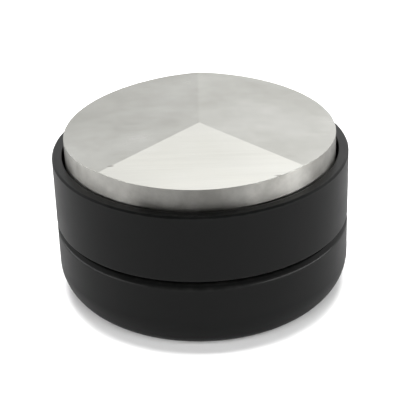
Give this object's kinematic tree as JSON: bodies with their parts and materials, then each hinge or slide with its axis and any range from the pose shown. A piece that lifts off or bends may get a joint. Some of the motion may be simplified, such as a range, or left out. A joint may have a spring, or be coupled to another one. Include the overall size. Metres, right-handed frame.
{
  "type": "coffee distributor",
  "caption": "Palm-held distributor that levels ground coffee in a filter basket: a faceted steel head screws in and out of a round two-tier black body and is locked by its lower tier.",
  "frame": {"origin": "centre of the flat palm face that the tool stands on", "axes": "+Z along the turning axis, from the palm face towards the steel head; the narrowest of the head's three facets faces -Y"},
  "size_m": [0.0636, 0.0636, 0.0382],
  "materials": {
    "black_anodised": "satin black anodised",
    "brushed_head": "fine brushed stainless steel",
    "plain_aluminium": "turned, uncoated",
    "screw_steel": "plain stainless steel",
    "black_nylon": "matte",
    "black_rubber": "matte"
  },
  "bodies": {
    "cap": {"palm_cap": "black_anodised"},
    "washer": {"lock_washer": "black_nylon"},
    "collar": {"depth_collar": "black_anodised"},
    "ring": {"friction_ring": "black_rubber"},
    "head": {"distributor_head": "brushed_head", "threaded_hub": "plain_aluminium", "hub_screws": "screw_steel"}
  },
  "joints": [
    {"name": "lock_travel", "type": "slide", "parent": "cap", "child": "washer", "axis": [0, 0, 1], "range_m": [0, 0.0015]},
    {"name": "lock_turn", "type": "hinge", "parent": "washer", "child": "collar", "pos_m": [0, 0, 0.0179], "axis": [0, 0, 1], "range_deg": [0, 360]},
    {"name": "depth_travel", "type": "slide", "parent": "collar", "child": "ring", "axis": [0, 0, 1], "range_m": [-0.00225, 0.0045]},
    {"name": "depth_turn", "type": "hinge", "parent": "ring", "child": "head", "pos_m": [0, 0, 0.0268], "axis": [0, 0, 1], "range_deg": [-540, 1080]}
  ],
  "couplings": [
    {"joint": "lock_travel", "follows": "lock_turn", "m_per_rad": 0.00023873},
    {"joint": "depth_travel", "follows": "depth_turn", "m_per_rad": 0.00023873}
  ]
}
